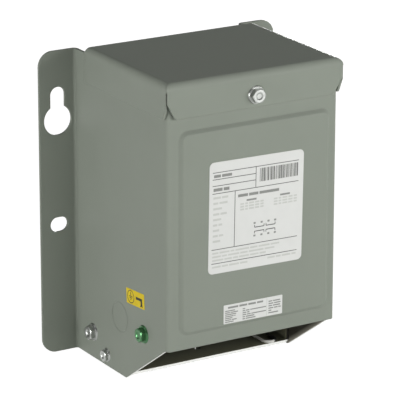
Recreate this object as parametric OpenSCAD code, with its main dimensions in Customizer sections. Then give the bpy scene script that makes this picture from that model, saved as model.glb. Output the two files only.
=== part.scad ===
// Small wall-hung dry-type transformer in a painted sheet-steel case.
// Millimetres, +Z up, front towards -Y. The origin lies on the back of the left mounting
// flange, on its line of holes and halfway up, where the wall holds the object.

/* [Case] */
// outside width across the two side walls
case_w = 137.2; // [125:0.1:150]
// wall plane to the outside of the front
case_depth = 131.2; // [120:0.1:145]
// height of the side walls and of the mounting flanges
case_h = 225; // [212:0.5:240]
// thickness of all the sheet steel
sheet = 1.9; // [1.5:0.1:2.3]
// outside radius of the front corner bends
bend_r = 3.2; // [2.6:0.1:5]
// wall plane to the lowest point where the sloped edge starts
slope_start = 73.2; // [68:0.1:80]
// height of the bottom edge of the front
slope_rise = 37.4; // [34:0.1:42]

/* [Mounting flanges] */
// width of one flange beyond the side wall
flange_w = 28.6; // [27:0.1:33]
// rounding of the flange corners
flange_corner_r = 11; // [6:0.5:13]
// inside radius of the bend between wall and flange
flange_bend_r = 1.8; // [1:0.1:2.2]
// flange outer edge to the line of holes
hole_inset = 14.6; // [14:0.1:15.5]
// diameter of the round part of the keyhole
keyhole_d = 22; // [19:0.5:23]
// width of the keyhole neck
keyhole_neck = 11.6; // [9:0.1:12.5]
// flange top to the round part of the keyhole
keyhole_drop = 50.9; // [46:0.1:56]
// round part of the keyhole to the end of its neck
keyhole_rise = 18.6; // [14:0.1:20]
// height of the lower slot above the flange bottom
slot_z = 96.5; // [85:0.5:110]
// width of the lower slot
slot_d = 10.8; // [9:0.1:11.5]
// overall length of the lower slot
slot_len = 14; // [12.5:0.1:15]

/* [Front panel] */
// side wall to the raised panel
panel_side = 7.9; // [6:0.1:12]
// bottom edge of the front to the raised panel
panel_margin = 10.2; // [8:0.1:12]
// raised panel to the lower edge of the cap lip
panel_top_gap = 9.6; // [7:0.1:14]
// middle of the case to the middle of the raised panel, to the right
panel_aside = 1.2; // [0:0.1:3]
// how far the panel stands out
panel_rise = 2.2; // [0.8:0.1:2.6]
// width of the sloped border of the panel
panel_slope = 2.6; // [2:0.1:3.2]
// corner radius of the raised panel
panel_corner_r = 7; // [5:0.5:9]

/* [Cap] */
// overlap of the cap lips down the case
lip_h = 25.4; // [22:0.1:30]
// clearance between the side lips and the case
cap_gap = 0.4; // [0.3:0.05:0.7]
// clearance between the front lip and the case
cap_front_gap = 1.2; // [0.4:0.1:1.6]
// clear height between the case edge and the cap
cap_lift = 2.7; // [2:0.1:3.2]
// outside radius of the cap bends
cap_bend_r = 5; // [4:0.1:6]
// wall plane to the back edge of the cap
cap_back = 20.3; // [18:0.1:26]
// sideways cut at the end of the front lip
lip_cut_w = 7.6; // [5:0.1:9]
// height of the cut at the end of the front lip
lip_cut_h = 13; // [9:0.1:15]
// backward cut at the front end of a side lip
side_cut_w = 5; // [3:0.1:6]
// height of the cut at the front end of a side lip
side_cut_h = 11; // [8:0.1:13]
// open seam between the front lip and a side lip
seam = 0.6; // [0.3:0.1:1]
// lower edge of the front lip to its screw
cap_screw_up = 8.9; // [7.5:0.1:12]

/* [Back tray] */
// wall plane to the back of the tray
tray_back = 12; // [9:0.5:15]
// depth of the tray sides
tray_side = 24; // [22:0.5:26]
// outside radius of the tray bends
tray_bend_r = 3.4; // [2.8:0.1:4]

/* [Bottom pan] */
// underside of the pan above the lowest edge of the case
pan_z = 1.7; // [1.4:0.1:2.2]
// front edge of the pan beyond the start of the sloped edge
pan_reach = 1.4; // [0:0.1:2]
// height of the pan ends
pan_end_h = 15; // [13.5:0.5:18]
// gap between the tray sides and the pan ends
pan_end_gap = 2; // [1:0.5:4]
// diameter of the small hole in the pan
pan_hole_d = 5; // [3:0.5:7]
// wall plane to the small hole
pan_hole_y = 56; // [45:0.5:62]

/* [Core and coil block] */
// clear space between the tray sides and the block
block_side_gap = 3.8; // [3:0.1:8]
// underside of the block above the lowest edge of the case
block_z = 74; // [66:1:90]
// clear space between the tip of the cap screw and the block
block_front_gap = 2; // [1:0.5:5]
// top of the case to the block
block_top_gap = 4; // [3:0.5:8]

/* [Screws] */
// washer diameter of the large screws
screw_washer_d = 13.2; // [12:0.1:14]
// across flats of the large screws
screw_hex = 9.5; // [8.5:0.1:10.5]
// thread diameter of the large screws
screw_d = 6.2; // [5.6:0.1:6.6]
// washer diameter of the small screws
small_washer_d = 10.2; // [9:0.1:11]
// across flats of the small screws
small_hex = 7.9; // [7:0.1:8.5]
// thread diameter of the small screws
small_d = 4.6; // [4:0.1:5]
// length of the threads behind the head
screw_len = 12; // [9:0.5:14]
// clearance around each thread
hole_gap = 0.3; // [0.2:0.05:0.5]
// wall plane to the rear screws
rear_screw_y = 25.4; // [23:0.1:28]
// height of the rear screws
rear_screw_z = 19.3; // [16:0.1:24]
// wall plane to the pan screws
pan_screw_y = 45.3; // [44:0.1:58]
// height of the pan screws
pan_screw_z = 8.2; // [7.6:0.1:10]
// wall plane to the ground screw
ground_y = 98.4; // [94:0.1:104]
// height of the ground screw
ground_z = 40.8; // [36:0.1:48]

/* [Knockouts] */
// diameter of the side knockouts
knockout_d = 22.2; // [20:0.1:24]
// wall plane to the knockout centre
knockout_y = 64.8; // [60:0.1:70]
// height of the knockout centre
knockout_z = 43.4; // [40:0.1:52]
// width of the pressed ring
ring_w = 0.5; // [0.3:0.1:1]
// depth of the pressed ring
ring_depth = 0.15; // [0.1:0.05:1]

/* [Hidden] */
$fn = 96;
cut = 1;
half_w = case_w / 2;
inner_half = half_w - sheet;
flange_half = half_w + flange_w;
hole_x = flange_half - hole_inset;
keyhole_z = case_h - keyhole_drop;
cap_half = half_w + cap_gap + sheet;
cap_front = case_depth + cap_front_gap + sheet;
cap_under = case_h + cap_lift;
cap_top = cap_under + sheet;
lip_z = cap_top - lip_h;
cap_screw_z = lip_z + cap_screw_up;
panel_w = case_w - 2 * panel_side;
panel_low = slope_rise + panel_margin;
panel_h = lip_z - panel_top_gap - panel_low;
panel_z = panel_low + panel_h / 2;
panel_root = sheet / 2;
pan_top = pan_z + sheet;
pan_front = slope_start + pan_reach;
pan_end_back = tray_back + tray_side + pan_end_gap;
tray_top_half = half_w - cap_bend_r;
block_half = inner_half - sheet - block_side_gap;
washer_t = 1.2;
hex_t = 3.6;
small_hex_t = 2.6;
hex_sides = 6;
hex_round = cos(180 / hex_sides);
hex_flat = 0.92;
hex_bevel = 30;
dish_t = 0.7;
dish_low = 0.4;
dish_high = 0.9;
mitre = 45;
lead_d = 2.2;
lead_sides = 8;
lead_across = [-1, 0, 1];
// way of the lead from the block, down onto the pan, round its front edge and back up to the block
lead_route = [[44, -40, 74], [44, -40, 68], [44, -40, 56], [44, -40.2, 44], [44.2, -40.6, 32],
  [44.6, -41.4, 22], [45.2, -43.2, 14], [46, -46.4, 8.6], [46.8, -51, 5.6], [47.2, -56, 4.8],
  [47.4, -61, 4.8], [47.4, -65, 4.8], [47.4, -69.4, 4.8], [48, -71.9, 4.8], [49.9, -73.7, 4.8],
  [52.4, -74.4, 4.8], [54.9, -73.7, 4.8], [56.8, -71.9, 4.8], [57.4, -69.4, 4.8], [57.4, -65, 4.8],
  [57.4, -61, 5.2], [57.2, -57, 7.2], [56.8, -53.4, 11.4], [56, -50.6, 18], [55, -48.8, 26],
  [54, -47.6, 36], [53.2, -47, 48], [53, -47, 58], [53, -47, 68], [53, -47, 74]];
paint = [0.50, 0.53, 0.49];
zinc = [0.75, 0.75, 0.74];
green = [0.10, 0.42, 0.20];
resin = [0.12, 0.11, 0.10];
pale = [0.78, 0.78, 0.74];

// moves the object, drawn about its middle plane, onto the frame of the left flange
module from_flange() {
  translate([hole_x, 0, -case_h / 2])
    children();
}

// plan of a block with two rounded front corners
module rounded_plan(half, depth, r) {
  translate([-half, -depth + r])
    square([2 * half, depth - r]);
  translate([-half + r, -depth])
    square([2 * (half - r), depth]);
  for (side = [-1, 1])
    translate([side * (half - r), -depth + r])
      circle(r);
}

// plan of one bent-out flange on the +X side
module flange_plan() {
  r = flange_bend_r;
  translate([half_w + r, -sheet - r])
    intersection() {
      difference() {
        circle(r + sheet);
        circle(r);
      }
      translate([-r - sheet, 0])
        square(r + sheet);
    }
  translate([half_w + r, -sheet])
    square([flange_w - r, sheet]);
}

module wrap_plan() {
  difference() {
    rounded_plan(half_w, case_depth, bend_r);
    rounded_plan(inner_half, case_depth - sheet, bend_r - sheet);
    translate([-half_w - cut, -sheet - flange_bend_r])
      square([case_w + 2 * cut, sheet + flange_bend_r + cut]);
  }
  flange_plan();
  mirror([1, 0])
    flange_plan();
}

// raised panel with sloped borders, rooted behind Y = 0, standing towards -Y
module panel_form() {
  rotate([90, 0, 0]) {
    for (turn = [0, 90]) {
      wide = turn == 0 ? panel_w : panel_h;
      high = turn == 0 ? panel_h : panel_w;
      rotate([0, 0, turn])
        translate([0, high / 2 - panel_corner_r, 0])
          rotate([90, 0, 0])
            linear_extrude(high - 2 * panel_corner_r)
              polygon([[-wide / 2, -panel_root], [wide / 2, -panel_root], [wide / 2, 0],
                [wide / 2 - panel_slope, panel_rise], [-wide / 2 + panel_slope, panel_rise],
                [-wide / 2, 0]]);
    }
    for (side = [-1, 1], end = [-1, 1])
      translate([side * (panel_w / 2 - panel_corner_r), end * (panel_h / 2 - panel_corner_r), 0]) {
        cylinder(h = panel_rise, r1 = panel_corner_r, r2 = panel_corner_r - panel_slope);
        translate([0, 0, -panel_root])
          cylinder(h = panel_root, r = panel_corner_r);
      }
  }
}

// everything below the sloped lower edge
module slope_cut() {
  level = case_depth - bend_r;
  translate([-half_w - cut, 0, 0])
    rotate([90, 0, 90])
      linear_extrude(case_w + 2 * cut)
        polygon([[-slope_start, 0], [-slope_start, -cut], [-case_depth - cut, -cut],
          [-case_depth - cut, slope_rise], [-level, slope_rise]]);
}

module corner_cut(x_side, z_end) {
  translate([x_side * flange_half, cut, z_end > 0 ? case_h : 0])
    rotate([90, 0, 0])
      linear_extrude(sheet + 2 * cut)
        scale([x_side, z_end])
          difference() {
            translate([-flange_corner_r, -flange_corner_r])
              square(flange_corner_r + cut);
            translate([-flange_corner_r, -flange_corner_r])
              circle(flange_corner_r);
          }
}

module bore_y(x, z, d) {
  translate([x, cut, z])
    rotate([90, 0, 0])
      cylinder(h = sheet + 2 * cut, d = d);
}

module flange_holes(side) {
  x = side * hole_x;
  bore_y(x, keyhole_z, keyhole_d);
  bore_y(x, keyhole_z + keyhole_rise, keyhole_neck);
  translate([x - keyhole_neck / 2, -sheet - cut, keyhole_z])
    cube([keyhole_neck, sheet + 2 * cut, keyhole_rise]);
  reach = (slot_len - slot_d) / 2;
  for (end = [-1, 1])
    bore_y(x + end * reach, slot_z, slot_d);
  translate([x - reach, -sheet - cut, slot_z - slot_d / 2])
    cube([2 * reach, sheet + 2 * cut, slot_d]);
}

// round hole through one side wall and what lies against it
module bore_x(side, y, z, d, depth) {
  translate([side * (half_w + cut), -y, z])
    rotate([0, -90 * side, 0])
      cylinder(h = depth + cut, d = d);
}

module knockout_ring(side) {
  difference() {
    bore_x(side, knockout_y, knockout_z, knockout_d, ring_depth);
    translate([side * (half_w + 2 * cut), -knockout_y, knockout_z])
      rotate([0, -90 * side, 0])
        cylinder(h = 4 * cut + ring_depth, d = knockout_d - 2 * ring_w);
  }
}

module case_wrap() {
  from_flange() color(paint)
    difference() {
      union() {
        linear_extrude(case_h)
          wrap_plan();
        translate([panel_aside, -case_depth, panel_z])
          panel_form();
      }
      translate([panel_aside, -case_depth + sheet, panel_z])
        panel_form();
      slope_cut();
      for (side = [-1, 1], end = [-1, 1])
        corner_cut(side, end);
      for (side = [-1, 1]) {
        flange_holes(side);
        knockout_ring(side);
        bore_x(side, rear_screw_y, rear_screw_z, screw_d + 2 * hole_gap, sheet + cut);
        bore_x(side, pan_screw_y, pan_screw_z, small_d + 2 * hole_gap, sheet + cut);
      }
      bore_x(-1, ground_y, ground_z, screw_d + 2 * hole_gap, sheet + cut);
      translate([0, -case_depth + sheet + cut, cap_screw_z])
        rotate([90, 0, 0])
          cylinder(h = sheet + 2 * cut, d = screw_d + 2 * hole_gap);
    }
}

// solid cap form, smaller by inset at the sides, the front and the top
module cap_form(inset, drop) {
  half = cap_half - inset;
  r = cap_bend_r - inset;
  top = cap_top - inset;
  front = cap_front - inset;
  low = lip_z - drop;
  back = cap_back - drop;
  intersection() {
    translate([0, -back, 0])
      rotate([90, 0, 0])
        linear_extrude(cap_front)
          translate([0, low])
            mirror([0, 1])
              rounded_plan(half, top - low, r);
    translate([-cap_half, 0, 0])
      rotate([90, 0, 90])
        linear_extrude(2 * cap_half)
          front_section(front, back, low, top, r);
  }
}

// section with one rounded corner at the upper front
module front_section(front, back, low, top, r) {
  translate([-front, low])
    square([front - back, top - low - r]);
  translate([-front + r, low])
    square([front - back - r, top - low]);
  translate([-front + r, top - r])
    circle(r);
}

// one half of a cap corner on the +X side, split along its mitre
module corner_half(front_half) {
  reach = lip_cut_w + side_cut_w;
  outer = [cap_half + cut, -cap_front - cut];
  inner = [cap_half - reach, -cap_front + reach];
  side_point = front_half ? [inner[0], outer[1]] : [outer[0], inner[1]];
  linear_extrude(cap_top)
    polygon([outer, side_point, inner]);
}

// sloped cuts and the open seam at the cap corner on the +X side
module cap_corner_cut() {
  seam_h = cap_top - cap_bend_r - seam - lip_z;
  intersection() {
    corner_half(true);
    translate([cap_half, 0, lip_z])
      rotate([90, 0, 0])
        linear_extrude(cap_front + cut)
          polygon([[cut, -cut], [-lip_cut_w, -cut], [-lip_cut_w, 0], [0, lip_cut_h], [cut, lip_cut_h]]);
  }
  intersection() {
    corner_half(false);
    translate([0, -cap_front, lip_z])
      rotate([90, 0, 90])
        linear_extrude(cap_half + cut)
          polygon([[-cut, -cut], [side_cut_w, -cut], [side_cut_w, 0], [0, side_cut_h], [-cut, side_cut_h]]);
  }
  translate([cap_half, -cap_front, lip_z])
    rotate([0, 0, mitre])
      translate([-seam / 2, -cut, 0])
        cube([seam, 2 * sheet + cut, seam_h]);
}

module cap() {
  from_flange() color(paint)
    difference() {
      cap_form(0, 0);
      cap_form(sheet, cut);
      cap_corner_cut();
      mirror([1, 0, 0])
        cap_corner_cut();
      translate([0, -cap_front + sheet + cut, cap_screw_z])
        rotate([90, 0, 0])
          cylinder(h = sheet + 2 * cut, d = screw_d + 2 * hole_gap);
    }
}

module back_tray() {
  top = cap_under;
  side_top = case_h - cap_bend_r;
  from_flange() color(paint)
    difference() {
      union() {
        translate([0, 0, pan_top])
          linear_extrude(side_top - pan_top)
            difference() {
              translate([0, -tray_back - tray_side])
                mirror([0, 1])
                  rounded_plan(inner_half, tray_side, tray_bend_r);
              translate([0, -tray_back - tray_side])
                mirror([0, 1])
                  rounded_plan(inner_half - sheet, tray_side - sheet, tray_bend_r - sheet);
            }
        translate([-tray_top_half, 0, 0])
          rotate([90, 0, 90])
            linear_extrude(2 * tray_top_half)
              difference() {
                tray_section(tray_back, side_top - cut, top, tray_bend_r);
                tray_section(tray_back + sheet, side_top - 2 * cut, top - sheet, tray_bend_r - sheet);
              }
      }
      for (side = [-1, 1])
        bore_x(side, rear_screw_y, rear_screw_z, screw_d + 2 * hole_gap, 3 * sheet + cut);
    }
}

// side section of the upper tray edge, one rounded corner at the upper back
module tray_section(back, low, top, r) {
  front = tray_back + tray_side;
  translate([-front, low])
    square([front - back - r, top - low]);
  translate([-front, low])
    square([front - back, top - low - r]);
  translate([-back - r, top - r])
    circle(r);
}

module bottom_pan() {
  floor_half = inner_half - tray_bend_r;
  from_flange() color(paint)
    difference() {
      union() {
        translate([-floor_half, -pan_front, pan_z])
          cube([2 * floor_half, pan_front - tray_back, sheet]);
        translate([0, -pan_end_back, 0])
          rotate([90, 0, 0])
            linear_extrude(pan_front - pan_end_back)
              translate([0, pan_z + pan_end_h])
                difference() {
                  rounded_plan(inner_half, pan_end_h, tray_bend_r);
                  rounded_plan(inner_half - sheet, pan_end_h - sheet, tray_bend_r - sheet);
                }
      }
      for (side = [-1, 1])
        bore_x(side, pan_screw_y, pan_screw_z, small_d + 2 * hole_gap, 3 * sheet + cut);
      translate([0, -pan_hole_y, pan_z - cut])
        cylinder(h = sheet + 2 * cut, d = pan_hole_d);
    }
}

module core_block() {
  back = tray_back + sheet;
  front = cap_front - screw_len - block_front_gap;
  from_flange() color(resin)
    translate([-block_half, -front, block_z])
      cube([2 * block_half, front - back, case_h - block_top_gap - block_z]);
}

// hex washer-head screw with a dished top, head on Z = 0 and above, thread below
module hex_screw(washer_d, hex, hex_high, d) {
  top = washer_t + hex_high;
  flat_r = hex_flat * hex / 2;
  cylinder(h = washer_t, d1 = washer_d, d2 = washer_d - washer_t);
  difference() {
    intersection() {
      cylinder(h = top, d = hex / hex_round, $fn = hex_sides);
      cylinder(h = top, r1 = flat_r + top / tan(hex_bevel), r2 = flat_r);
    }
    translate([0, 0, top - dish_t])
      cylinder(h = 2 * dish_t, r1 = dish_low * flat_r, r2 = dish_high * flat_r);
  }
  translate([0, 0, -screw_len])
    cylinder(h = screw_len + washer_t, d = d);
}

module side_screw(side, y, z, washer_d, hex, hex_high, d) {
  translate([side * half_w, -y, z])
    rotate([0, 90 * side, 0])
      hex_screw(washer_d, hex, hex_high, d);
}

module cap_screw() {
  from_flange() color(zinc)
    translate([0, -cap_front, cap_screw_z])
      rotate([90, 0, 0])
        hex_screw(screw_washer_d, screw_hex, hex_t, screw_d);
}

module left_rear_screw() {
  from_flange() color(zinc)
    side_screw(-1, rear_screw_y, rear_screw_z, screw_washer_d, screw_hex, hex_t, screw_d);
}

module right_rear_screw() {
  from_flange() color(zinc)
    side_screw(1, rear_screw_y, rear_screw_z, screw_washer_d, screw_hex, hex_t, screw_d);
}

module left_pan_screw() {
  from_flange() color(zinc)
    side_screw(-1, pan_screw_y, pan_screw_z, small_washer_d, small_hex, small_hex_t, small_d);
}

module right_pan_screw() {
  from_flange() color(zinc)
    side_screw(1, pan_screw_y, pan_screw_z, small_washer_d, small_hex, small_hex_t, small_d);
}

module ground_screw() {
  from_flange() color(green)
    side_screw(-1, ground_y, ground_z, screw_washer_d, screw_hex, hex_t, screw_d);
}

function unit(v) = v / norm(v);

// direction of the lead at one of its points
function lead_way(i) =
  unit(lead_route[min(i + 1, len(lead_route) - 1)] - lead_route[max(i - 1, 0)]);

// ring of points round the lead at one of its points
function lead_ring(i) =
  let (way = lead_way(i), side = unit(cross(way, lead_across)), rise = cross(side, way))
    [for (k = [0 : lead_sides - 1])
      lead_route[i] + lead_d / 2 * (cos(360 * k / lead_sides) * side + sin(360 * k / lead_sides) * rise)];

// tube of the lead, its ends flat on the underside of the block
module lead() {
  last = len(lead_route) - 1;
  rings = [for (i = [0 : last]) each lead_ring(i)];
  walls = [for (i = [0 : last - 1], k = [0 : lead_sides - 1])
    let (a = i * lead_sides + k, b = i * lead_sides + (k + 1) % lead_sides)
      each [[a, b, b + lead_sides], [a, b + lead_sides, a + lead_sides]]];
  start = [for (k = [lead_sides - 1 : -1 : 0]) k];
  end = [for (k = [0 : lead_sides - 1]) last * lead_sides + k];
  from_flange() color(pale)
    polyhedron(rings, concat([start], walls, [end]));
}

case_wrap();
cap();
back_tray();
bottom_pan();
core_block();
cap_screw();
left_rear_screw();
right_rear_screw();
left_pan_screw();
right_pan_screw();
ground_screw();
lead();
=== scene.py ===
import math
import bpy
import bmesh
from mathutils import Euler, Matrix, Vector


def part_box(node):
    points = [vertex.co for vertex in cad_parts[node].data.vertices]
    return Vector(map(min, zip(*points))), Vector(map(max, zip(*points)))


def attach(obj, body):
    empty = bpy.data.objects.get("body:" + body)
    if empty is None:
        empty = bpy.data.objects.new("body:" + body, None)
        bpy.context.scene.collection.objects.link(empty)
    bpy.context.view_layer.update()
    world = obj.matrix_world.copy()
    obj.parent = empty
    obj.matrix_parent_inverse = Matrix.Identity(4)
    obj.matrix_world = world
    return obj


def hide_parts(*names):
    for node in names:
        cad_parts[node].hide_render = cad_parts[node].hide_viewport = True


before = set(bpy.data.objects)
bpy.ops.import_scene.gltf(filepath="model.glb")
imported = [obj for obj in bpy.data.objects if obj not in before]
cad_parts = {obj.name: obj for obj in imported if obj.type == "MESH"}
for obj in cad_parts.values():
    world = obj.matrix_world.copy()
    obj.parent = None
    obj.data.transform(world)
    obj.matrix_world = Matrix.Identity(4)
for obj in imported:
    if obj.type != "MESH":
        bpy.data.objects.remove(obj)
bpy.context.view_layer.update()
mm = 0.001
caseLow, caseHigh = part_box("case_wrap")
middle = Vector(((caseLow.x + caseHigh.x) / 2, caseHigh.y, caseLow.z))  # wall plane, middle of the case, lowest edge
panelFace = (caseLow.y - middle.y) / mm  # front of the raised panel, in mm from the wall
print("frame loaded:", len(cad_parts), "nodes")


def at(x, y, z):
    return middle + Vector((x, y, z)) * mm


def hexColor(code):
    parts = [int(code[i:i + 2], 16) / 255 for i in (0, 2, 4)]
    return tuple(p / 12.92 if p <= 0.04045 else ((p + 0.055) / 1.055) ** 2.4 for p in parts) + (1.0,)


def addNode(tree, kind, settings=None, inputs=None):
    node = tree.nodes.new(kind)
    for key, value in (settings or {}).items():
        setattr(node, key, value)
    for key, value in (inputs or {}).items():
        if isinstance(value, bpy.types.NodeSocket):
            tree.links.new(value, node.inputs[key])
        else:
            node.inputs[key].default_value = value
    return node


def blend(tree, share, first, second):
    return addNode(tree, "ShaderNodeMix", {"data_type": "RGBA"}, {0: share, 6: first, 7: second}).outputs[2]


def calc(tree, operation, first, second=0.0, clamp=False):
    return addNode(tree, "ShaderNodeMath", {"operation": operation, "use_clamp": clamp},
                   {0: first, 1: second}).outputs[0]


def dotProduct(tree, first, second):
    return addNode(tree, "ShaderNodeVectorMath", {"operation": "DOT_PRODUCT"},
                   {0: first, 1: second}).outputs["Value"]


def grain(tree, coords, size, detail, roughness=0.5):
    # noise with features of this size in mm
    return addNode(tree, "ShaderNodeTexNoise", None,
                   {"Vector": coords, "Scale": 1 / (size * mm), "Detail": detail,
                    "Roughness": roughness}).outputs["Fac"]


def spread(tree, value, span, start=0.0, end=1.0):
    # value from start to end becomes span
    return addNode(tree, "ShaderNodeMapRange", None,
                   {"Value": value, "From Min": start, "From Max": end,
                    "To Min": span[0], "To Max": span[1]}).outputs[0]


def roundEdges(tree, radius):
    return addNode(tree, "ShaderNodeBevel", {"samples": 6}, {"Radius": radius * mm}).outputs[0]


def newMaterial(name):
    material = bpy.data.materials.new(name)
    material.use_nodes = True
    tree = material.node_tree
    tree.nodes.clear()
    return material, tree


def objectCoords(tree):
    return addNode(tree, "ShaderNodeTexCoord").outputs["Object"]


def closeMaterial(tree, shader):
    addNode(tree, "ShaderNodeOutputMaterial", None, {"Surface": shader.outputs[0]})


# camera

viewpoint = {
    "place": (-0.94183, -1.77424, 0.64646), "turn": (72.18716, -0.07015, -30.83856), "lens": 265.43,
    "sensor": 36, "clip": (0.05, 50),
}

cameraData = bpy.data.cameras.new("photoCamera")
cameraData.lens = viewpoint["lens"]
cameraData.sensor_width = viewpoint["sensor"]
cameraData.clip_start, cameraData.clip_end = viewpoint["clip"]
camera = bpy.data.objects.new("photoCamera", cameraData)
camera.location = viewpoint["place"]
camera.rotation_euler = Euler([math.radians(a) for a in viewpoint["turn"]])
bpy.context.scene.collection.objects.link(camera)
bpy.context.scene.camera = camera
print("camera placed")


# lead: comes out of the cast block, lies over the pan, turns at its front edge and goes back up into the block

lead = {
    "diameter": 2.2,
    "route": ((44, -40, 74), (44, -40, 68), (44, -40, 56), (44, -40.2, 44), (44.2, -40.6, 32),
              (44.6, -41.4, 22), (45.2, -43.2, 14), (46, -46.4, 8.6), (46.8, -51, 5.6), (47.2, -56, 4.8),
              (47.4, -61, 4.8), (47.4, -65, 4.8), (47.4, -69.4, 4.8), (48, -71.9, 4.8), (49.9, -73.7, 4.8),
              (52.4, -74.4, 4.8), (54.9, -73.7, 4.8), (56.8, -71.9, 4.8), (57.4, -69.4, 4.8), (57.4, -65, 4.8),
              (57.4, -61, 5.2), (57.2, -57, 7.2), (56.8, -53.4, 11.4), (56, -50.6, 18), (55, -48.8, 26),
              (54, -47.6, 36), (53.2, -47, 48), (53, -47, 58), (53, -47, 68), (53, -47, 74)),
    "darkReturn": {"start": (54.2, -74.4, 4.8), "across": (1.0, 0.125, 0.0)},
    "darkPatch": 4.0, "dark": "C9C8C0", "light": "E0E0DA", "darkReturnTint": "22211F",
}


def wireCover(p):
    # soft wire insulation: off-white, dull, a little grimy, drawn near black on the way back to the block
    material, tree = newMaterial("wireCover")
    coords = objectCoords(tree)
    tint = blend(tree, grain(tree, coords, p["darkPatch"], 3.0), hexColor(p["dark"]), hexColor(p["light"]))
    # the wire is drawn near black from this point on, on the way back to the block
    across = p["darkReturn"]["across"]
    start = Vector(across).dot(at(*p["darkReturn"]["start"]))
    onDarkReturn = calc(tree, "GREATER_THAN", dotProduct(tree, coords, across), start)
    color = blend(tree, onDarkReturn, tint, hexColor(p["darkReturnTint"]))
    shader = addNode(tree, "ShaderNodeBsdfPrincipled", None, {"Base Color": color, "Roughness": 0.5, "IOR": 1.5})
    closeMaterial(tree, shader)
    return material


def buildLead(p):
    points = [at(*q) for q in p["route"]]
    curve = bpy.data.curves.new("leadWire", "CURVE")
    curve.dimensions = "3D"
    curve.bevel_depth = p["diameter"] / 2 * mm
    curve.bevel_resolution = 4
    curve.resolution_u = 6
    curve.use_fill_caps = True
    spline = curve.splines.new("BEZIER")
    spline.bezier_points.add(len(points) - 1)
    for knot, point in zip(spline.bezier_points, points):
        knot.co = point
        knot.handle_left_type = knot.handle_right_type = "AUTO"
    curve.materials.append(wireCover(p))
    piece = bpy.data.objects.new("leadWire", curve)
    bpy.context.scene.collection.objects.link(piece)
    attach(piece, "root")
    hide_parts("lead")


buildLead(lead)


# finishes, sizes in mm

caseInside = {"halfWidth": 67.0, "front": -129.8}  # just inside the sheet of the wrap
slopeCut = (0.0, -0.564, -0.826)
panCut = (0.0, -1.0, 0.0)
panEdgeDarkPatch = {"z": 9.0, "reach": 5.3, "tint": "2B2A26"}  # heights on the pan's front edge that are drawn dark and dull, not bare
# painted light and shade inside the case: shallow is the paler colour near the opening, deep the darker colour further
# in
wrapInsideShade = {
    "cut": slopeCut, "edge": (0.0, -73.2, 0.0), "reach": 3.8, "above": -1.0,
    "shallow": "B4B0A2", "deep": "4B4941",
}
panInsideShade = {
    "cut": panCut, "edge": (0.0, -74.6, 2.9), "reach": 27.0, "above": 2.3,
    "shallow": "82816C", "deep": "4C4E43",
}
enamelCoat = {
    "cloud": 38.0, "dark": "868C82", "light": "8B9187", "gloss": (0.34, 0.40),
    "peel": 2.4, "peelStrength": 0.06, "peelHeight": 0.15,  # real peel is finer, drawn larger to show
    # paler edges: thinner paint on the edges and a painted highlight along them
    "edge": 1.6, "thinPaintSheen": "A3A89D", "thinPaintSheenShare": (0.0, 0.35), "thinPaintSheenFrom": 0.98, "thinPaintSheenTo": 0.75,
}
bareSteel = {"dark": "C6C7C3", "light": "EEEFEB", "metal": 0.7, "gloss": 0.45, "facing": 0.985}


def insideMask(tree, coords, above):
    # 1 on the faces that look into the case
    split = addNode(tree, "ShaderNodeSeparateXYZ", None, {0: coords})
    aside = calc(tree, "ABSOLUTE", calc(tree, "SUBTRACT", split.outputs["X"], middle.x))
    between = calc(tree, "LESS_THAN", aside, caseInside["halfWidth"] * mm)
    behind = calc(tree, "GREATER_THAN", split.outputs["Y"], middle.y + caseInside["front"] * mm)
    higher = calc(tree, "GREATER_THAN", split.outputs["Z"], middle.z + above * mm)
    return calc(tree, "MULTIPLY", calc(tree, "MULTIPLY", between, behind), higher)


def insideShadeColor(tree, coords, p):
    # painted light and shade on the inside faces: paler near the open cut edge, darker deeper into the case
    edge = Vector(p["cut"]).dot(at(*p["edge"]))
    fade = spread(tree, dotProduct(tree, coords, p["cut"]), (0.0, 1.0), edge, edge - p["reach"] * mm)
    return blend(tree, fade, hexColor(p["shallow"]), hexColor(p["deep"]))


def cutSteel(tree, coords, peel, p, darkPatch):
    # sheared edge of galvanised sheet: pale and metallic, drawn dark and dull in a given band of heights
    metal = p["metal"]
    color = blend(tree, peel, hexColor(p["dark"]), hexColor(p["light"]))
    # the given band of heights is drawn dark and dull instead of bare
    if darkPatch:
        height = addNode(tree, "ShaderNodeSeparateXYZ", None, {0: coords}).outputs["Z"]
        inDarkPatch = addNode(tree, "ShaderNodeMath", {"operation": "COMPARE"},
                        {0: height, 1: middle.z + darkPatch["z"] * mm, 2: darkPatch["reach"] * mm}).outputs[0]
        color = blend(tree, inDarkPatch, color, hexColor(darkPatch["tint"]))
        metal = calc(tree, "SUBTRACT", metal, inDarkPatch, True)
    return addNode(tree, "ShaderNodeBsdfPrincipled", None,
                   {"Base Color": color, "Metallic": metal, "Roughness": p["gloss"], "Specular IOR Level": 0.12})


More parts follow.
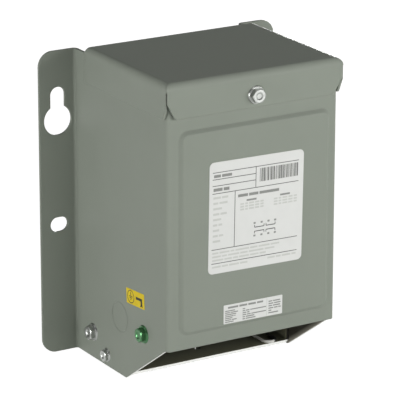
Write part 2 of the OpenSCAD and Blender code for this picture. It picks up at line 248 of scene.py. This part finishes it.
def sprayedEnamel(name, cutFace=None, insideShade=None, darkPatch=None):
    # baked enamel sprayed on sheet steel: an even grey-green, satin, faint orange peel and slightly paler edges,
    # partly thinner paint there and partly a painted highlight
    # cut faces show bare galvanised steel; the inside faces get painted shade, paler near the opening and darker deep
    # in the case
    p = enamelCoat
    material, tree = newMaterial(name)
    coords = objectCoords(tree)
    tone = grain(tree, coords, p["cloud"], 3.0, 0.55)
    paint = blend(tree, tone, hexColor(p["dark"]), hexColor(p["light"]))
    soft = roundEdges(tree, p["edge"])
    flat = addNode(tree, "ShaderNodeNewGeometry").outputs["Normal"]
    # paler edges: thinner paint on the edges and a painted highlight along them
    edge = spread(tree, dotProduct(tree, soft, flat), p["thinPaintSheenShare"], p["thinPaintSheenFrom"], p["thinPaintSheenTo"])
    color = blend(tree, edge, paint, hexColor(p["thinPaintSheen"]))
    # painted shade on the faces inside the case, darker away from the opening
    if insideShade:
        inside = insideMask(tree, coords, insideShade["above"])
        color = blend(tree, inside, color, insideShadeColor(tree, coords, insideShade))
    peel = grain(tree, coords, p["peel"], 2.0)
    bump = addNode(tree, "ShaderNodeBump", None,
                   {"Strength": p["peelStrength"], "Distance": p["peelHeight"] * mm, "Height": peel, "Normal": soft})
    shader = addNode(tree, "ShaderNodeBsdfPrincipled", None,
                     {"Base Color": color, "Roughness": spread(tree, tone, p["gloss"]), "IOR": 1.45,
                      "Specular IOR Level": 0.07, "Normal": bump.outputs[0]})
    if cutFace:
        isCut = calc(tree, "GREATER_THAN", dotProduct(tree, flat, cutFace), bareSteel["facing"])
        bare = cutSteel(tree, coords, peel, bareSteel, darkPatch)
        shader = addNode(tree, "ShaderNodeMixShader", None, {0: isCut, 1: shader.outputs[0], 2: bare.outputs[0]})
    closeMaterial(tree, shader)
    return material


# bright zinc on rolled screws: pale metal, slightly dull in patches
zincPlate = {"patch": 3.0, "dark": "8F928F", "light": "B5B7B3", "gloss": (0.32, 0.48), "metal": 1.0, "edge": 0.25}
# zinc with a green dye: a dark clear green over metal
greenDyedZinc = {"patch": 2.5, "dark": "335E3D", "light": "5C8E61", "gloss": (0.25, 0.4), "metal": 0.8, "edge": 0.25}


def platedScrew(name, p):
    material, tree = newMaterial(name)
    patch = grain(tree, objectCoords(tree), p["patch"], 4.0)
    tint = blend(tree, patch, hexColor(p["dark"]), hexColor(p["light"]))
    shader = addNode(tree, "ShaderNodeBsdfPrincipled", None,
                     {"Base Color": tint, "Metallic": p["metal"], "Roughness": spread(tree, patch, p["gloss"]),
                      "Normal": roundEdges(tree, p["edge"])})
    closeMaterial(tree, shader)
    return material


resin = {"sand": 1.5, "dark": "1B1917", "light": "2E2B27", "relief": 0.4, "reliefHeight": 0.4}


def castResin(p):
    # sand-filled casting resin: near black, dull, grainy
    material, tree = newMaterial("castResin")
    sand = grain(tree, objectCoords(tree), p["sand"], 5.0)
    tint = blend(tree, sand, hexColor(p["dark"]), hexColor(p["light"]))
    bump = addNode(tree, "ShaderNodeBump", None,
                   {"Strength": p["relief"], "Distance": p["reliefHeight"] * mm, "Height": sand})
    shader = addNode(tree, "ShaderNodeBsdfPrincipled", None,
                     {"Base Color": tint, "Roughness": 0.72, "IOR": 1.5, "Normal": bump.outputs[0]})
    closeMaterial(tree, shader)
    return material


filmMottle = 6.0


def printedFilm(name, light, dark, gloss):
    # polyester label film or the ink on it: smooth, slightly mottled
    material, tree = newMaterial(name)
    tint = blend(tree, grain(tree, objectCoords(tree), filmMottle, 3.0), hexColor(dark), hexColor(light))
    shader = addNode(tree, "ShaderNodeBsdfPrincipled", None,
                     {"Base Color": tint, "Roughness": gloss, "IOR": 1.5, "Specular IOR Level": 0.18})
    closeMaterial(tree, shader)
    return material


enamel = sprayedEnamel("sprayedEnamel")
finishes = {
    "case_wrap": sprayedEnamel("sprayedEnamelWrap", slopeCut, wrapInsideShade), "cap": enamel, "back_tray": enamel,
    "bottom_pan": sprayedEnamel("sprayedEnamelPan", panCut, panInsideShade, panEdgeDarkPatch), "core_block": castResin(resin),
    "ground_screw": platedScrew("greenDyedZinc", greenDyedZinc),
}
zinc = platedScrew("zincPlate", zincPlate)
whiteFilm = printedFilm("whiteFilm", "D9DAD7", "D3D4D1", 0.42)
yellowFilm = printedFilm("yellowFilm", "DEC520", "D3B914", 0.42)
blackInk = printedFilm("blackInk", "3A3C3A", "2C2E2C", 0.5)
ruleInk = printedFilm("ruleInk", "646662", "585A56", 0.5)
greyInk = printedFilm("greyInk", "8E908C", "848682", 0.5)
paleInk = printedFilm("paleInk", "C6C8C3", "BEC0BB", 0.5)
for name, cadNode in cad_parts.items():
    cadNode.data.materials.clear()
    cadNode.data.materials.append(finishes.get(name, zinc))
print("finishes assigned")


# thin plates and what is printed on them, drawn facing -Y round the plate's middle, in mm

labelFilms = (whiteFilm, blackInk, greyInk, paleInk, ruleInk)
inks = {"black": 1, "grey": 2, "pale": 3, "rule": 4}  # places in the films
inkSunk = 0.4  # share of the ink's thickness that lies in the plate
rimRound = 0.3  # share of the plate's thickness that is rounded off


def addPlate(bm, size):
    made = bmesh.ops.create_cube(bm, size=1.0)
    verts = made["verts"]
    bmesh.ops.scale(bm, vec=(size["width"], size["thick"], size["height"]), verts=verts)
    bmesh.ops.translate(bm, vec=(0, -size["thick"] / 2, 0), verts=verts)
    corners = [e for e in bm.edges if abs(e.verts[0].co.y - e.verts[1].co.y) > size["thick"] / 2]
    bmesh.ops.bevel(bm, geom=corners, offset=size["cornerR"], offset_type="OFFSET", affect="EDGES", segments=6,
                    profile=0.5, material=-1)
    rim = [e for e in bm.edges if all(v.co.y < -size["thick"] * 0.9 for v in e.verts)]
    bmesh.ops.bevel(bm, geom=rim, offset=size["thick"] * rimRound, offset_type="OFFSET", affect="EDGES", segments=2,
                    profile=0.5, material=-1)


def addMark(bm, size, x, z, width, height, ink, turn=0.0):
    thick = size["inkThick"]
    place = (Matrix.Translation((x, -size["thick"] - thick / 2 + thick * inkSunk, z)) @ Matrix.Rotation(turn, 4, "Y")
             @ Matrix.Diagonal((width, thick, height, 1.0)))
    made = bmesh.ops.create_cube(bm, size=1.0, matrix=place)
    for face in {f for v in made["verts"] for f in v.link_faces}:
        face.material_index = inks[ink]


def addText(bm, size):
    # plain bars in place of words, in rows that go down by the step
    for left, top, step, height, gap, ink, rows in size["text"]:
        for i, lengths in enumerate(rows):
            x = left
            for length in lengths:
                addMark(bm, size, x + length / 2, top - step * i, length, height, ink)
                x += length + gap


def addRing(bm, size, x, z, radius, width, ink):
    thick = size["inkThick"]
    back, front = -size["thick"] + thick * inkSunk, -size["thick"] - thick * (1 - inkSunk)
    section = [bm.verts.new((x + r, y, z)) for r, y in
               ((radius - width, back), (radius, back), (radius, front), (radius - width, front))]
    edges = [bm.edges.new((section[i], section[(i + 1) % 4])) for i in range(4)]
    before = set(bm.faces)
    bmesh.ops.spin(bm, geom=section + edges, cent=(x, 0, z), axis=(0, 1, 0), angle=2 * math.pi, steps=40,
                   use_merge=True)
    for face in set(bm.faces) - before:
        face.material_index = inks[ink]


def finishPlate(name, bm, placement, films):
    bmesh.ops.remove_doubles(bm, verts=bm.verts, dist=1e-5)
    bmesh.ops.recalc_face_normals(bm, faces=bm.faces)
    bmesh.ops.transform(bm, matrix=placement @ Matrix.Scale(mm, 4), verts=bm.verts)
    mesh = bpy.data.meshes.new(name)
    bm.to_mesh(mesh)
    bm.free()
    for film in films:
        mesh.materials.append(film)
    piece = bpy.data.objects.new(name, mesh)
    bpy.context.scene.collection.objects.link(piece)
    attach(piece, "root")
    return piece


def onPanel(p):
    return Matrix.Translation(at(p["x"], panelFace, p["z"])) @ Matrix.Rotation(math.radians(p["turn"]), 4, "Y")


figures = (3.0, 2.2, 4.0, 3.4, 2.6)
nameplate = {
    "width": 76.1, "height": 80.3, "thick": 0.3, "inkThick": 0.06, "cornerR": 3.6,
    "x": 1.11, "z": 128.94, "turn": 0.93, "ruleWidth": 0.5,
    "rules": ((-35.6, 34.0, 32.7), (-35.6, -0.8, 27.8), (-35.6, -0.8, 23.2), (-35.6, 34.0, 17.7),
              (-35.6, 34.0, -22.6), (-35.6, 34.0, -32.7)),  # from x, to x, z
    "posts": ((-0.8, 32.7, 17.7), (-17.4, 17.7, -22.6)),  # x, from z, to z
    "bars": (2.4, 33.4, 26.3, 9.6),  # from x, to x, z, height
    "barSteps": (1, 2, 2, 1, 1, 1, 2, 1, 1, 2, 1, 1, 2, 2, 1, 1, 2, 1, 1, 1, 2, 2, 1, 1, 1, 2, 1, 1, 2, 1, 2, 1, 1, 1,
                 2, 1, 1, 2, 2, 1, 1, 1, 1, 2, 2, 1, 1, 2, 1, 1, 2, 1, 1, 1, 2),
    "text": (  # x, z, step, height, gap, ink, lengths in each row
        (-34.6, 30.1, 0, 2.0, 0.9, "grey", ((5.5, 8.0),)),
        (-34.8, 20.4, 0, 2.2, 0.9, "grey", ((7.2, 4.6),)),
        (-34.8, 14.6, 3.9, 1.5, 0.9, "pale",
         ((6, 5), (4, 6.5), (7,), (5, 5), (6.5,), (3.5, 3), (5,), (4, 3.5), (6,))),
        (-15.0, 13.6, 0, 2.0, 0.9, "grey", ((8, 7.5, 16),)),
        (-8.0, 9.6, 0, 1.3, 0.9, "grey", ((8,),)),
        (-13.0, 7.4, 2.0, 1.2, 0.9, "pale", (figures, figures, figures)),
        (19.2, 9.6, 0, 1.3, 0.9, "grey", ((8,),)),
        (14.2, 7.4, 2.0, 1.2, 0.9, "pale", (figures, figures, figures)),
        (-35.0, -25.2, 2.6, 1.2, 0.9, "pale",
         ((5, 8, 3, 11, 6, 9, 7), (7, 4, 9, 6, 12, 8), (9, 6, 4, 8, 7, 5))),
        (-35.0, -35.2, 0, 1.3, 0.9, "pale", ((7, 5, 8, 6),)),
        (10.0, -34.9, 0, 1.3, 0.9, "pale", ((6, 4, 7, 3.5),)),
    ),
    "windings": {
        "rows": ((1, -11.0), (-1, -13.9)), "spans": ((-1.1, 6.6), (8.2, 15.6)), "line": 0.55,
        "tapOff": 0.8, "tapSize": (0.5, 1.6), "ends": (-1.1, 4.6, 10.2, 15.6), "endOff": 3.1, "endSize": (1.7, 1.3),
    },
}


def addWindings(bm, size, w):
    # two windings with their taps
    for side, z in w["rows"]:
        for x0, x1 in w["spans"]:
            addMark(bm, size, (x0 + x1) / 2, z, x1 - x0, w["line"], "black")
            for x in (x0, x1):
                addMark(bm, size, x, z + side * w["tapOff"], *w["tapSize"], "black")
        for x in w["ends"]:
            addMark(bm, size, x, z + side * w["endOff"], *w["endSize"], "grey")


def buildNameplate(p):
    bm = bmesh.new()
    addPlate(bm, p)
    for x0, x1, z in p["rules"]:
        addMark(bm, p, (x0 + x1) / 2, z, x1 - x0, p["ruleWidth"], "rule")
    for x, z0, z1 in p["posts"]:
        addMark(bm, p, x, (z0 + z1) / 2, p["ruleWidth"], z0 - z1, "rule")
    x, x1, z, high = p["bars"]
    unit = (x1 - x) / sum(p["barSteps"])
    for i, step in enumerate(p["barSteps"]):  # plain bars of mixed width
        if i % 2 == 0:
            addMark(bm, p, x + step * unit / 2, z, step * unit, high, "rule")
        x += step * unit
    addText(bm, p)
    addWindings(bm, p, p["windings"])
    return finishPlate("nameplate", bm, onPanel(p), labelFilms)


buildNameplate(nameplate)

tag = {
    "width": 48.0, "height": 13.8, "thick": 0.2, "inkThick": 0.05, "cornerR": 0.5,
    "x": -0.79, "z": 57.64, "turn": 0.6, "post": (11.2, 0.0, 0.35, 12.4),  # x, z, width, height
    "text": (
        (-20.6, 4.7, 0, 1.4, 0.9, "grey", ((8.4, 6.4, 6.2, 5.0),)),
        (-22.9, 2.4, 1.35, 0.75, 0.5, "grey", ((8,), (4, 6), (9,), (7, 1), (6,), (5, 4), (7,))),
        (-8.6, 2.0, 1.5, 0.8, 0.6, "grey", ((2,), (2, 3, 13), (3, 2), (3, 3, 12), (2, 7), (2, 8))),
        (12.6, 3.8, 1.7, 0.85, 0.6, "grey", ((3, 6), (4, 5.4), (3, 6), (4, 3, 2), (2.4,), (8,))),
    ),
}


def buildTag(p):
    bm = bmesh.new()
    addPlate(bm, p)
    addMark(bm, p, *p["post"], "pale")
    addText(bm, p)
    return finishPlate("smallTag", bm, onPanel(p), labelFilms)


buildTag(tag)

groundSticker = {
    "width": 25.1, "height": 11.1, "thick": 0.2, "inkThick": 0.06, "cornerR": 0.7,
    "wallX": -68.6, "y": -87.15, "z": 63.8, "turn": -4.1,
    "ringX": -6.4, "ringR": 4.8, "line": 0.55,
    "stem": (1.7, 0.6, 3.0), "earthBars": (5.0, 3.2, 1.4), "earthTop": 0.2, "earthStep": 1.1,  # stem: z, width, height
    "arrow": ((4.7, 0.6, 7.8, 2.0), (8.5, -1.2, 2.2, 5.6)),  # x, z, width, height
    "headX": 8.5, "headOff": 0.8, "headZ": -3.5, "headSize": (0.9, 2.2), "headTurn": -32,
}


def buildGroundSticker(p):
    bm = bmesh.new()
    addPlate(bm, p)
    addRing(bm, p, p["ringX"], 0, p["ringR"], p["line"], "black")
    addMark(bm, p, p["ringX"], *p["stem"], "black")  # earth sign
    for i, length in enumerate(p["earthBars"]):
        addMark(bm, p, p["ringX"], p["earthTop"] - p["earthStep"] * i, length, p["line"], "black")
    for bar in p["arrow"]:  # bent arrow towards the screw below
        addMark(bm, p, *bar, "black")
    for side in (-1, 1):
        addMark(bm, p, p["headX"] + side * p["headOff"], p["headZ"], *p["headSize"], "black",
                side * math.radians(p["headTurn"]))
    placement = (Matrix.Translation(at(p["wallX"], p["y"], p["z"])) @ Matrix.Rotation(math.radians(-90), 4, "Z")
                 @ Matrix.Rotation(math.radians(p["turn"]), 4, "Y"))
    return finishPlate("groundSticker", bm, placement, (yellowFilm, blackInk))


buildGroundSticker(groundSticker)
print("plates made")


# stage

studio = {
    "floorDrop": 0.6, "floorSize": 12.0, "floorAlbedo": "F2F2F0", "floorShown": "9A9A98",
    "glow": (0.95, 1.0), "glowFrom": 0.45, "glowTo": 1.2,
    "horizon": 1.0, "ceiling": 0.08, "riseFrom": 0.07, "riseTo": 0.25, "ambient": 0.02,
}


def seenDirectly(tree):
    # 1 for rays from the camera, a reflection or a glass, 0 for the light that reaches the object
    path = addNode(tree, "ShaderNodeLightPath")
    first = calc(tree, "ADD", path.outputs["Is Camera Ray"], path.outputs["Is Glossy Ray"])
    return calc(tree, "ADD", first, path.outputs["Is Transmission Ray"], True)


def buildFloor(p):
    under = at(0, 0, -p["floorDrop"])
    bm = bmesh.new()
    bmesh.ops.create_grid(bm, x_segments=1, y_segments=1, size=p["floorSize"] / 2)
    bmesh.ops.translate(bm, vec=under, verts=bm.verts)
    mesh = bpy.data.meshes.new("floor")
    bm.to_mesh(mesh)
    bm.free()
    material, tree = newMaterial("paleFloor")
    lit = addNode(tree, "ShaderNodeBsdfDiffuse", None, {"Color": hexColor(p["floorAlbedo"])})
    shown = addNode(tree, "ShaderNodeBsdfDiffuse", None, {"Color": hexColor(p["floorShown"])})
    away = addNode(tree, "ShaderNodeVectorMath", {"operation": "DISTANCE"}, {0: objectCoords(tree), 1: under})
    level = spread(tree, away.outputs["Value"], p["glow"], p["glowFrom"], p["glowTo"])
    glow = addNode(tree, "ShaderNodeEmission", None, {"Strength": level})  # white paper, shadow near the object
    both = addNode(tree, "ShaderNodeAddShader", None, {0: shown.outputs[0], 1: glow.outputs[0]})
    mix = addNode(tree, "ShaderNodeMixShader", None, {0: seenDirectly(tree), 1: lit.outputs[0], 2: both.outputs[0]})
    closeMaterial(tree, mix)
    mesh.materials.append(material)
    floor = bpy.data.objects.new("floor", mesh)
    bpy.context.scene.collection.objects.link(floor)


buildFloor(studio)


def buildWorld(p):
    world = bpy.data.worlds.new("studio")
    world.use_nodes = True
    tree = world.node_tree
    tree.nodes.clear()
    upward = addNode(tree, "ShaderNodeSeparateXYZ", None,
                     {0: addNode(tree, "ShaderNodeTexCoord").outputs["Generated"]})
    level = addNode(tree, "ShaderNodeMapRange", {"interpolation_type": "SMOOTHSTEP"},
                    {"Value": upward.outputs["Z"], "From Min": p["riseFrom"], "From Max": p["riseTo"],
                     "To Min": p["horizon"], "To Max": p["ceiling"]})
    shown = addNode(tree, "ShaderNodeBackground", None, {"Color": (1, 1, 1, 1), "Strength": level.outputs[0]})
    lit = addNode(tree, "ShaderNodeBackground", None, {"Color": (1, 1, 1, 1), "Strength": p["ambient"]})
    mix = addNode(tree, "ShaderNodeMixShader", None, {0: seenDirectly(tree), 1: lit.outputs[0], 2: shown.outputs[0]})
    addNode(tree, "ShaderNodeOutputWorld", None, {"Surface": mix.outputs[0]})
    bpy.context.scene.world = world


buildWorld(studio)

lamps = {
    "key": {"place": (900, -1450, 420), "aim": (0, -65, 120), "size": (1.2, 0.5), "watts": 16.0},
    "front": {"place": (0, -1800, 160), "aim": (0, -65, 120), "size": (0.8, 0.5), "watts": 10.5},
    "top": {"place": (-150, -100, 1700), "aim": (0, -65, 120), "size": (0.9, 0.6), "watts": 6.4},
    "side": {"place": (-1650, -150, 160), "aim": (0, -65, 100), "size": (0.9, 0.3), "watts": 15.6},
    "back": {"place": (900, 1400, 110), "aim": (0, -65, 110), "size": (0.9, 0.2), "watts": 10.0},
}


def buildLamps(lampSet):
    for name, p in lampSet.items():
        data = bpy.data.lights.new(name, "AREA")
        data.shape = "RECTANGLE"
        data.size, data.size_y = p["size"]
        data.energy = p["watts"]
        lamp = bpy.data.objects.new(name, data)
        lamp.location = at(*p["place"])
        lamp.rotation_euler = (at(*p["aim"]) - lamp.location).to_track_quat("-Z", "Y").to_euler()
        bpy.context.scene.collection.objects.link(lamp)


buildLamps(lamps)
bpy.context.scene.view_settings.view_transform = "Standard"
print("stage lit")
